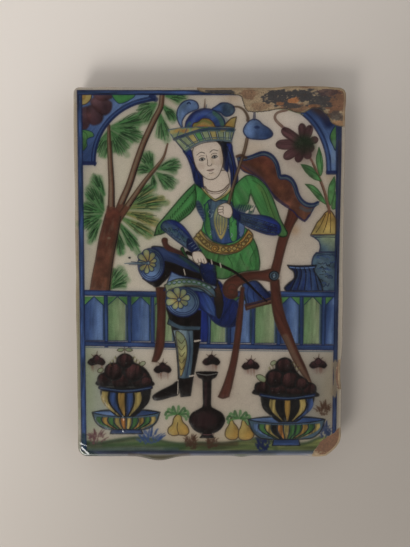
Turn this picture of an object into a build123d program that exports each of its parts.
"""Moulded fritware tile: one fired slab with a court scene raised on its glazed face.

Millimetres. +X runs across the picture, +Y up it and +Z out of the glazed face. The origin is on
the flat back, under the middle of the slab's nominal rectangle. The slab's sides lean in towards
the back, as on tiles that are set close together in plaster. Its lower edge carries a run of
thick glaze, its lower right corner is knocked off, and the glaze has flaked from a patch along
the top edge. The scene stands a little over the ground of the face: a border, two arch
spandrels, a tree, a fence, a seated figure on a chair, vases, a flower, fruit bowls and a flask.

An outline is a list of points. It is smooth all the way round, or, where its first point is
given twice, smooth between corners, and every corner is a point given twice. The figure, the
chair, the staff, the tree, the vases and the flower are drawn on a sheet, as for pouncing, and
are stretched with the tile when its size changes.
"""

import os
from math import asin, cos, degrees, pi, sin

from build123d import *

# Slab
tile_width = 240.0
tile_height = 331.0
slab_thickness = 22.0
side_draft = 4.0
face_edge_radius = 2.4
upper_corner_radius = 5.0
lower_corner_radius = 9.0

# Run of thick glaze over the lower edge
run_from_left = 46.0
run_length = 56.0
run_drop = 3.0
run_height = 15.0
run_edge = 1.6
run_root = 6.5

# Knocked-off lower right corner
knock_width = 12.0
knock_height = 15.0

# Patch along the top edge that has lost its glaze
loss_depth = 0.7
loss_length = 91.0
loss_height = 21.0
loss_right_height = 34.0
loss_strip_length = 43.0
loss_strip_height = 4.5

# Border band
border_margin = 3.0
border_width = 4.0
border_relief = 0.7

# Arch spandrels in the upper corners
spandrel_relief = 1.0
left_arch_foot_width = 12.0
left_arch_drop = 62.0
left_arch_reach = 64.0
right_arch_foot_width = 9.0
right_arch_drop = 69.0
right_arch_reach = 62.0
arch_crown_gap = 5.5

# Fence behind the figure
fence_relief = 0.9
fence_top_height = 151.0
fence_bottom_height = 103.0
fence_rail = 4.2
fence_post = 3.4
fence_pitch = 20.6
fence_posts_left = 3
fence_posts_right = 6
fence_panel_relief = 0.5
fence_panel_gap = 2.6
fence_panel_shoulder = 8.0
fence_last_panel = 10.5

# Sheet that the scene is drawn on
sheet_width = 240.0
sheet_height = 331.0

# Relief of the motifs, lowest first
leaf_relief = 0.6
tree_relief = 1.1
vase_relief = 1.3
chair_relief = 1.5
robe_relief = 1.7
limb_relief = 2.0
head_relief = 2.3
relief_edge = 0.5

# Fruit bowls, each on a dish: left, then right
bowl_relief = 1.9
dish_relief = 1.5
foot_height = 3.6
dish_hollow = 3.5
bowl_sink = 2.5
fruit_rise = 3.0
left_bowl_inset = 36.5
left_bowl_lift = 15.0
left_dish_half = 31.5
left_dish_depth = 15.5
left_bowl_half = 22.0
left_bowl_depth = 26.0
right_bowl_inset = 43.0
right_bowl_lift = 5.0
right_dish_half = 35.5
right_dish_depth = 17.5
right_bowl_half = 24.5
right_bowl_depth = 23.5
fruit_radius = 8.0
fruit_relief = 2.3

# Long-necked flask and pears between the bowls
flask_x = -2.5
flask_foot_lift = 10.0
flask_bulb_half = 16.0
flask_bulb_height = 21.5
flask_neck = 6.2
flask_neck_height = 30.0
flask_lip_half = 8.2
flask_lip_height = 4.6
flask_foot_half = 6.3
flask_relief = 1.7
pear_radius = 8.6
pear_neck = 6.0
pear_height = 19.0
pear_relief = 1.4

# Flower in the upper right field
petal_count = 7
petal_length = 17.0
petal_width = 7.0

half_width = tile_width / 2
half_height = tile_height / 2
sheet_across = tile_width / sheet_width
sheet_up = tile_height / sheet_height
inner_half_width = half_width - border_margin - border_width
inner_half_height = half_height - border_margin - border_width
outer_half_width = half_width - border_margin
outer_half_height = half_height - border_margin
fence_top = -half_height + fence_top_height
fence_bottom = -half_height + fence_bottom_height
face_plane = Plane.XY.offset(slab_thickness)


def runs_of(outline):
    """Splits a closed outline that starts at a corner into the runs between its corners."""
    runs, run = [], [outline[1]]
    for before, point in zip(outline[1:], outline[2:]):
        if point == before:
            runs.append(run)
            run = [point]
        else:
            run.append(point)
    return runs + [run + [outline[0]]]


def drawn(outline, x=0.0, y=0.0):
    """An outline from the sheet, stretched with the tile and moved across the face."""
    return [(x + u * sheet_across, y + v * sheet_up) for u, v in outline]


def draw(outline):
    """Draws a closed outline in the open line block."""
    if outline[0] != outline[1]:
        Spline(*outline, periodic=True)
        return
    for run in runs_of(outline):
        if len(run) == 2:
            Line(*run)
        else:
            Spline(*run)


def raised(outline, height, edge=0.0):
    """A pad with that outline, standing on the face, its upper edge eased where edge is given."""
    with BuildPart() as pad:
        with BuildSketch(face_plane):
            with BuildLine():
                draw(outline)
            make_face()
        extrude(amount=height)
        if edge > 0:
            chamfer(pad.faces().sort_by(Axis.Z)[-1].edges(), edge)
    return pad.part


def stroke(points, widths):
    """The outline of a tapering brush stroke along points, square at both ends."""
    left, right = [], []
    for i, (x, y) in enumerate(points):
        ahead = points[min(i + 1, len(points) - 1)]
        behind = points[max(i - 1, 0)]
        along = (Vector(*ahead) - Vector(*behind)).normalized()
        half = widths[0] / 2 + (widths[1] - widths[0]) / 2 * i / (len(points) - 1)
        left.append((x - along.Y * half, y + along.X * half))
        right.append((x + along.Y * half, y - along.X * half))
    right.reverse()
    return [left[0]] + left + [left[-1], right[0]] + right + [right[-1]]


def oval(x, y, rx, ry, height, turn=0.0, edge=0.0):
    """An oval pad, turned by that many degrees."""
    with BuildPart() as pad:
        with BuildSketch(face_plane):
            with Locations(Location((x, y), turn)):
                Ellipse(rx, ry)
        extrude(amount=height)
        if edge > 0:
            chamfer(pad.faces().sort_by(Axis.Z)[-1].edges(), edge)
    return pad.part


def knob(x, y, rx, ry, height):
    """An oval from the sheet, its edge eased where it stands as high as the limbs."""
    edge = relief_edge if height >= limb_relief else 0.0
    return oval(x * sheet_across, y * sheet_up, rx * sheet_across, ry * sheet_up, height, 0.0, edge)


def dome(x, y, radius, height):
    """A low dome: the cap of a sphere that rises that high over a circle on the face."""
    ball = (radius**2 + height**2) / (2 * height)
    low = degrees(asin((ball - height) / ball))
    with BuildPart() as cap:
        with Locations((x, y, slab_thickness)):
            Sphere(ball, arc_size1=low, align=(Align.CENTER, Align.CENTER, Align.MIN))
    return cap.part


def block(x0, y0, x1, y1, height):
    """A rectangular pad between two corners."""
    a, b, c, d = (x0, y0), (x1, y0), (x1, y1), (x0, y1)
    return raised([a, a, b, b, c, c, d, d], height)


def spandrel(side, foot_width, drop, reach):
    """The corner piece over one end of the arch, its inner edge a quarter of an ellipse."""
    wall = side * inner_half_width
    foot_x = wall - side * foot_width
    crown_x = wall - side * reach
    foot_y = inner_half_height - drop
    crown_y = inner_half_height - arch_crown_gap
    sweep = [
        (
            crown_x + (foot_x - crown_x) * cos(pi / 2 * i / 6),
            foot_y + (crown_y - foot_y) * sin(pi / 2 * i / 6),
        )
        for i in range(7)
    ]
    corner = (wall, inner_half_height)
    foot, crown = (wall, foot_y), (crown_x, inner_half_height)
    outline = [corner, corner, foot, foot, sweep[0]] + sweep + [sweep[-1], crown, crown]
    return raised(outline, spandrel_relief)


def fence():
    """Rails, posts and the shaped panels between them."""
    pads = []
    for y in (fence_top, fence_bottom):
        pads.append(block(-inner_half_width, y - fence_rail, inner_half_width, y, fence_relief))
    left_posts = [-inner_half_width + fence_pitch * (i + 1) for i in range(fence_posts_left)]
    right_posts = [
        inner_half_width - fence_last_panel - fence_pitch * i for i in range(fence_posts_right)
    ]
    for x in left_posts + right_posts:
        pads.append(
            block(x - fence_post / 2, fence_bottom, x + fence_post / 2, fence_top, fence_relief)
        )
    half = (fence_pitch - fence_post) / 2 - fence_panel_gap / 2
    low = fence_bottom + fence_panel_gap / 2
    shoulder = fence_top - fence_rail - fence_panel_shoulder
    peak = fence_top - fence_rail - fence_panel_gap
    for x in left_posts + right_posts:
        mid = x - fence_pitch / 2
        if abs(mid) + half > inner_half_width:
            continue
        corners = [(mid - half, low), (mid + half, low), (mid + half, shoulder)]
        corners += [(mid, peak), (mid - half, shoulder)]
        pads.append(raised([c for c in corners for _ in range(2)], fence_panel_relief))
    return pads


def fruit_bowl(x, ground, dish_half, dish_depth, bowl_half, bowl_depth):
    """A footed dish with a bowl of fruit standing in it."""
    dish_low = ground + foot_height
    rim = dish_low + dish_depth
    bowl_low = rim - bowl_sink
    bowl_rim = bowl_low + bowl_depth
    foot_half = dish_half * 0.47
    dish = [
        (x - dish_half, rim),
        (x - dish_half, rim),
        (x - dish_half * 0.8, dish_low + dish_depth * 0.38),
        (x - dish_half * 0.45, dish_low),
        (x - dish_half * 0.45, dish_low),
        (x + dish_half * 0.45, dish_low),
        (x + dish_half * 0.45, dish_low),
        (x + dish_half * 0.8, dish_low + dish_depth * 0.38),
        (x + dish_half, rim),
        (x + dish_half, rim),
        (x, rim - dish_hollow),
    ]
    bowl = [
        (x - bowl_half, bowl_rim),
        (x - bowl_half, bowl_rim),
        (x - bowl_half * 0.88, bowl_low + bowl_depth * 0.45),
        (x - bowl_half * 0.36, bowl_low),
        (x - bowl_half * 0.36, bowl_low),
        (x + bowl_half * 0.36, bowl_low),
        (x + bowl_half * 0.36, bowl_low),
        (x + bowl_half * 0.88, bowl_low + bowl_depth * 0.45),
        (x + bowl_half, bowl_rim),
        (x + bowl_half, bowl_rim),
    ]
    pads = [
        block(x - foot_half, ground, x + foot_half, dish_low, dish_relief),
        raised(dish, dish_relief),
        raised(bowl, bowl_relief, relief_edge),
    ]
    step = bowl_half * 0.56
    for row, count in enumerate((3, 2)):
        for i in range(count):
            along = (i - (count - 1) / 2) * step
            up = bowl_rim + fruit_rise + row * fruit_radius * 1.5
            pads.append(dome(x + along, up, fruit_radius, fruit_relief - 0.12 * row))
    return pads


def flask():
    """The long-necked flask that stands between the bowls."""
    foot = -half_height + border_margin + border_width + flask_foot_lift
    bulb = foot + 4.0 + flask_bulb_height / 2
    neck = bulb + flask_bulb_height / 2 - 2.0
    lip = neck + flask_neck_height
    half = flask_neck / 2
    return [
        block(flask_x - flask_foot_half, foot, flask_x + flask_foot_half, foot + 7.0, flask_relief),
        oval(flask_x, bulb, flask_bulb_half, flask_bulb_height / 2, flask_relief + 0.3),
        block(flask_x - half, neck, flask_x + half, lip + 2.0, flask_relief - 0.2),
        oval(flask_x, lip, flask_lip_half, flask_lip_height / 2, flask_relief),
    ]


def pears(x, foot):
    """Two pears leaning together."""
    pads = []
    for side in (-1, 1):
        middle = x + side * pear_radius * 0.62
        top = foot + pear_height
        rise = pear_relief + 0.15 * side
        pads.append(oval(middle, foot + pear_radius * 0.9, pear_radius * 0.75, 7.0, rise))
        pads.append(oval(middle, (foot + pear_radius + top) / 2, pear_neck / 2, 5.6, rise - 0.1))
    return pads


def tree():
    """A trunk on the fence that parts into three boughs."""
    left = [(-109, -14), (-105, 12), (-98, 42), (-93, 62)]
    right = [(-79, 60), (-82, 43), (-88, 16), (-92.5, -14)]
    outline = [left[0]] + left + [left[-1], right[0]] + right + [right[-1]]
    boughs = [
        (((-89.5, 58), (-88.5, 85), (-89, 108), (-88.8, 129)), (6.0, 1.8)),
        (((-84, 54), (-76, 75), (-66, 98), (-60, 114), (-48, 134), (-41.8, 157)), (6.0, 3.4)),
        (((-81, 52), (-73, 69), (-60, 83), (-46, 95), (-36.8, 114)), (5.6, 1.8)),
    ]
    pads = [raised(drawn(outline), tree_relief + 0.2)]
    for points, widths in boughs:
        pads.append(raised(drawn(stroke(points, widths)), tree_relief))
    return pads


def chair():
    """The armchair, its crest cut in lobes."""
    crest = [(25, 104), (25, 104), (36, 105), (47, 109.5), (57, 105.5), (62.5, 92), (62.8, 88.5)]
    crest += [(62.8, 88.5), (72, 87), (78.5, 76), (82.5, 66.5), (90, 63.5), (97, 65), (97, 65)]
    crest += [(85, 48), (85, 48), (78, 53), (78, 53), (62, 65), (52, 76), (42, 87), (26, 96)]
    crest += [(26, 96)]
    parts = [
        (crest, chair_relief),
        (stroke(((77, 56), (69, 36), (61.5, 16), (58, 0)), (9.5, 8.0)), chair_relief + 0.2),
        (stroke(((57.5, -2), (60, -28), (68, -53), (79, -76), (91, -98)), (7.6, 3.2)), chair_relief),
        (stroke(((57, 0.5), (42, -1), (30, -2), (19, -5.5), (14.5, -13)), (8.0, 6.0)), chair_relief),
        (stroke(((29.5, -7), (28, -25), (26, -52), (22, -80), (13.5, -111)), (3.4, 9.0)), chair_relief),
        (stroke(((-43.5, -12), (-43, -42), (-45, -62), (-50, -78)), (7.8, 4.0)), chair_relief - 0.3),
        (stroke(((31, -29), (56.5, -23.5)), (4.6, 5.0)), chair_relief - 0.2),
    ]
    pads = [raised(drawn(outline), height) for outline, height in parts]
    pads.append(knob(17.8, -14.5, 6.4, 6.6, chair_relief + 0.1))
    pads.append(knob(57.5, -0.6, 4.6, 4.4, chair_relief + 0.5))
    return pads


def figure():
    """The seated figure, in the order in which its parts overlap."""
    skirt = [(-13, 33), (-13, 33), (3, 21), (22, 20), (37, 33), (37, 33), (43, 20), (44.5, 4)]
    skirt += [(44.5, 4), (28, 2), (13, -3.5), (5, -3), (5, -3), (4, 10), (4, 10), (-8, 14)]
    torso = [(-13, 81), (-13, 81), (3, 69), (20, 74), (28, 85), (28, 85), (22, 60), (25, 44)]
    torso += [(34, 40), (34, 40), (22, 27.5), (8, 27.5), (-7, 39), (-7, 39), (-6, 52), (-12, 62)]
    belt = stroke(((-11, 36), (-3, 27.5), (10, 23), (24, 23.8), (36, 35)), (7.0, 7.0))
    left_sleeve = [(-13, 81), (-13, 81), (-33, 60), (-49, 35.5), (-49, 35.5), (-39, 38), (-39, 38)]
    left_sleeve += [(-26, 48), (-11.5, 61), (-11.5, 61)]
    right_sleeve = [(27, 84), (36, 88), (46, 83), (54, 71), (62, 51), (69, 37), (61, 35.5)]
    right_sleeve += [(50, 48), (41, 62), (33, 68)]
    left_forearm = [(-42, 44), (-36, 49), (-25, 44.5), (-8, 22), (-13, 19), (-29, 30)]
    right_forearm = [(20, 51), (20, 51), (20, 61), (20, 61), (36, 54), (54, 51), (63, 43)]
    right_forearm += [(57, 36.5), (36, 42)]
    lap = [(-48, 25), (-28, 20), (-8, 12), (6, 0), (12, -8), (2, -12), (-20, -3), (-38, 3), (-46, -8)]
    robe = [(-8, -14), (8, -4), (18, -20), (25, -28), (23, -44), (12, -47), (2, -40), (-6, -26)]
    cushion = [(29, -9), (29, -9), (41, -5), (57, -21), (57, -21), (33, -26.5), (33, -26.5)]
    shin = [(-38, -30), (-38, -30), (-31, -58), (-28.5, -94), (-28.5, -94), (-25.5, -110)]
    shin += [(-25.5, -110), (-17, -109), (-17, -109), (-11, -68), (-7.5, -32), (-7.5, -32)]
    shoe = stroke(((-28, -101.5), (-49, -111)), (9.5, 5.0))
    crown = [(-36.5, 128), (-36.5, 128), (-14, 130), (12, 131), (23.5, 140), (23.5, 140)]
    crown += [(19, 118), (19, 118), (0, 118.5), (-22, 110), (-22, 110)]
    cap = [(-21, 130), (-21, 130), (-15, 142.5), (-4, 146.5), (6, 143.5), (12.5, 131), (12.5, 131)]
    hair = [(-21, 112), (18.5, 118), (23, 100), (22, 76), (4, 70), (-10, 76), (-15, 90)]
    parts = [
        (robe, robe_relief - 0.2),
        (cushion, chair_relief - 0.4),
        (shin, robe_relief + 0.1),
        (shoe, robe_relief),
        (lap, robe_relief + 0.25),
        (skirt, robe_relief + 0.05),
        (torso, robe_relief + 0.15),
        (left_sleeve, limb_relief - 0.1),
        (right_sleeve, limb_relief - 0.05),
        (left_forearm, limb_relief + 0.1),
        (right_forearm, limb_relief + 0.15),
        (belt, limb_relief + 0.25),
        (hair, head_relief - 0.5),
        (cap, head_relief - 0.3),
        (crown, head_relief),
    ]
    pads = []
    for outline, height in parts:
        edge = relief_edge if height >= limb_relief else 0.0
        pads.append(raised(drawn(outline), height, edge))
    pads.append(knob(-20.5, 144.0, 7.6, 11.0, leaf_relief + 0.3))
    pads.append(knob(14.0, 145.6, 7.8, 5.6, leaf_relief + 0.35))
    pads.append(knob(0.0, 99.0, 14.0, 18.0, head_relief - 0.2))
    pads.append(knob(-52.5, 9.5, 11.8, 14.0, limb_relief + 0.2))
    pads.append(knob(-24.0, -24.5, 15.0, 13.0, limb_relief + 0.3))
    pads.append(knob(-8.5, 15.5, 5.6, 5.0, limb_relief + 0.35))
    pads.append(knob(14.5, 57.0, 4.8, 6.2, limb_relief + 0.4))
    return pads


def staff():
    """The tall staff in the figure's hand, and its rounded head."""
    pole = stroke(((17, 64), (22, 84), (28, 104), (34, 122)), (2.4, 2.4))
    return [
        raised(drawn(pole), limb_relief),
        knob(39.5, 128.8, 8.8, 8.6, limb_relief - 0.3),
        knob(47.0, 125.0, 8.0, 5.2, limb_relief - 0.4),
    ]


def vases(x, foot):
    """A tall vase cut by the border, a flower stem in it, and a waisted jug beside it."""
    jug = [(-43, 24), (-43, 24), (-19, 24), (-19, 24), (-15, 12), (-12, 0), (-12, 0), (-45, 0)]
    jug += [(-45, 0), (-44, 6), (-37.5, 13), (-40, 21)]
    body = [(0, 0), (0, 0), (0, 37), (0, 37), (-17, 35), (-21, 28), (-20, 18), (-12, 0), (-12, 0)]
    neck = [(0, 35), (0, 35), (0, 52), (0, 52), (-23, 51), (-23, 51), (-15, 43), (-15, 35)]
    neck += [(-15, 35)]
    lid = [(0, 50), (0, 50), (0, 66), (0, 66), (-6, 71), (-15, 64), (-23, 49.5), (-23, 49.5)]
    parts = ((body, 0.0), (neck, 0.1), (lid, 0.2), (jug, 0.35))
    return [raised(drawn(outline, x, foot), vase_relief + rise) for outline, rise in parts]


def flower(x, y):
    """A flower head of long petals, with its stem and leaves."""
    pads = [dome(x, y, petal_length * 0.42, leaf_relief + 0.9)]
    for i in range(petal_count):
        turn = 2 * pi * i / petal_count + pi / 2
        reach = petal_length * 0.6
        spot = (x + reach * cos(turn), y + reach * sin(turn))
        rise = leaf_relief + 0.25 + 0.04 * i
        pads.append(oval(*spot, petal_length * 0.42, petal_width / 2, rise, degrees(turn)))
    stem = ((5, -12), (12, -32), (20, -52), (23, -60))
    leaves = [
        [(-2, -19), (-2, -19), (9, -20), (17, -33), (17, -33), (6, -26)],
        [(1, -35), (1, -35), (10, -38), (19, -50), (19, -50), (8, -46)],
        [(13, -3), (13, -3), (16.5, -14), (15, -30), (15, -30), (11, -16)],
        [(27, -28), (27, -28), (28, -40), (23.5, -56), (23.5, -56), (21, -38)],
    ]
    pads.append(raised(drawn(stroke(stem, (2.2, 2.8)), x, y), leaf_relief + 0.2))
    for leaf in leaves:
        pads.append(raised(drawn(leaf, x, y), leaf_relief))
    return pads


def glaze_run():
    """The run of thick glaze that has set over the lower edge."""
    left = -half_width + run_from_left
    right = left + run_length
    with BuildPart() as run:
        with BuildSketch(face_plane.offset(-run_height)):
            with BuildLine():
                Spline(
                    (left, -half_height + 1),
                    (left + run_length * 0.4, -half_height - run_drop),
                    (right, -half_height + 1),
                    tangents=[(1, -0.1), (1, 0.1)],
                )
                Line((right, -half_height + 1), (right, -half_height + run_root))
                Line((right, -half_height + run_root), (left, -half_height + run_root))
                Line((left, -half_height + run_root), (left, -half_height + 1))
            make_face()
        extrude(amount=run_height)
        chamfer(run.faces().filter_by(Axis.Z).edges(), run_edge)
    return run.part


ground = -inner_half_height
motifs = [
    glaze_run(),
    *fence(),
    spandrel(-1, left_arch_foot_width, left_arch_drop, left_arch_reach),
    spandrel(1, right_arch_foot_width, right_arch_drop, right_arch_reach),
    *tree(),
    *vases(inner_half_width, fence_top),
    *flower(inner_half_width - 30.0, inner_half_height - 43.0),
    *chair(),
    *figure(),
    *staff(),
    *fruit_bowl(
        -inner_half_width + left_bowl_inset,
        ground + left_bowl_lift,
        left_dish_half,
        left_dish_depth,
        left_bowl_half,
        left_bowl_depth,
    ),
    *fruit_bowl(
        inner_half_width - right_bowl_inset,
        ground + right_bowl_lift,
        right_dish_half,
        right_dish_depth,
        right_bowl_half,
        right_bowl_depth,
    ),
    *flask(),
    *pears(-28.5, ground + 11.0),
    *pears(27.5, ground + 7.0),
]

with BuildPart() as tile:
    with BuildSketch(face_plane):
        with BuildLine():
            Polyline(
                (-half_width, half_height),
                (-half_width, -half_height),
                (half_width - knock_width, -half_height),
                (half_width, -half_height + knock_height),
                (half_width, half_height),
                close=True,
            )
        make_face()
        fillet(vertices().group_by(Axis.Y)[-1], upper_corner_radius)
        fillet(vertices().group_by(Axis.X)[0].sort_by(Axis.Y)[0], lower_corner_radius)
    extrude(amount=-slab_thickness, taper=side_draft)
    fillet(faces().sort_by(Axis.Z)[-1].edges(), face_edge_radius)
    with BuildSketch(face_plane):
        Rectangle(2 * outer_half_width, 2 * outer_half_height)
        Rectangle(2 * inner_half_width, 2 * inner_half_height, mode=Mode.SUBTRACT)
    extrude(amount=border_relief)
    add(motifs)
    with BuildSketch(face_plane.offset(-loss_depth)):
        with BuildLine():
            strip_end = half_width - loss_length - loss_strip_length
            low_corner = (half_width + 1, half_height - loss_right_height)
            high_corner = (half_width + 1, half_height + 1)
            strip_top = (strip_end, half_height + 1)
            Spline(
                low_corner,
                (half_width - 14, half_height - loss_right_height + 1),
                (half_width - loss_length * 0.3, half_height - loss_height + 2),
                (half_width - loss_length * 0.6, half_height - loss_height + 2),
                (half_width - loss_length * 0.9, half_height - loss_height),
                (half_width - loss_length, half_height - loss_strip_height - 2),
                (strip_end + loss_strip_length / 2, half_height - loss_strip_height),
                (strip_end + 1, half_height - loss_strip_height + 1),
                strip_top,
            )
            Line(strip_top, high_corner)
            Line(high_corner, low_corner)
        make_face()
    extrude(amount=loss_depth + head_relief + 1, mode=Mode.SUBTRACT)

tile.part.label = "fritware_tile"
os.makedirs("parts", exist_ok=True)
export_step(tile.part, "parts/fritware_tile.step")
print("solids", len(tile.part.solids()), "volume", round(tile.part.volume))
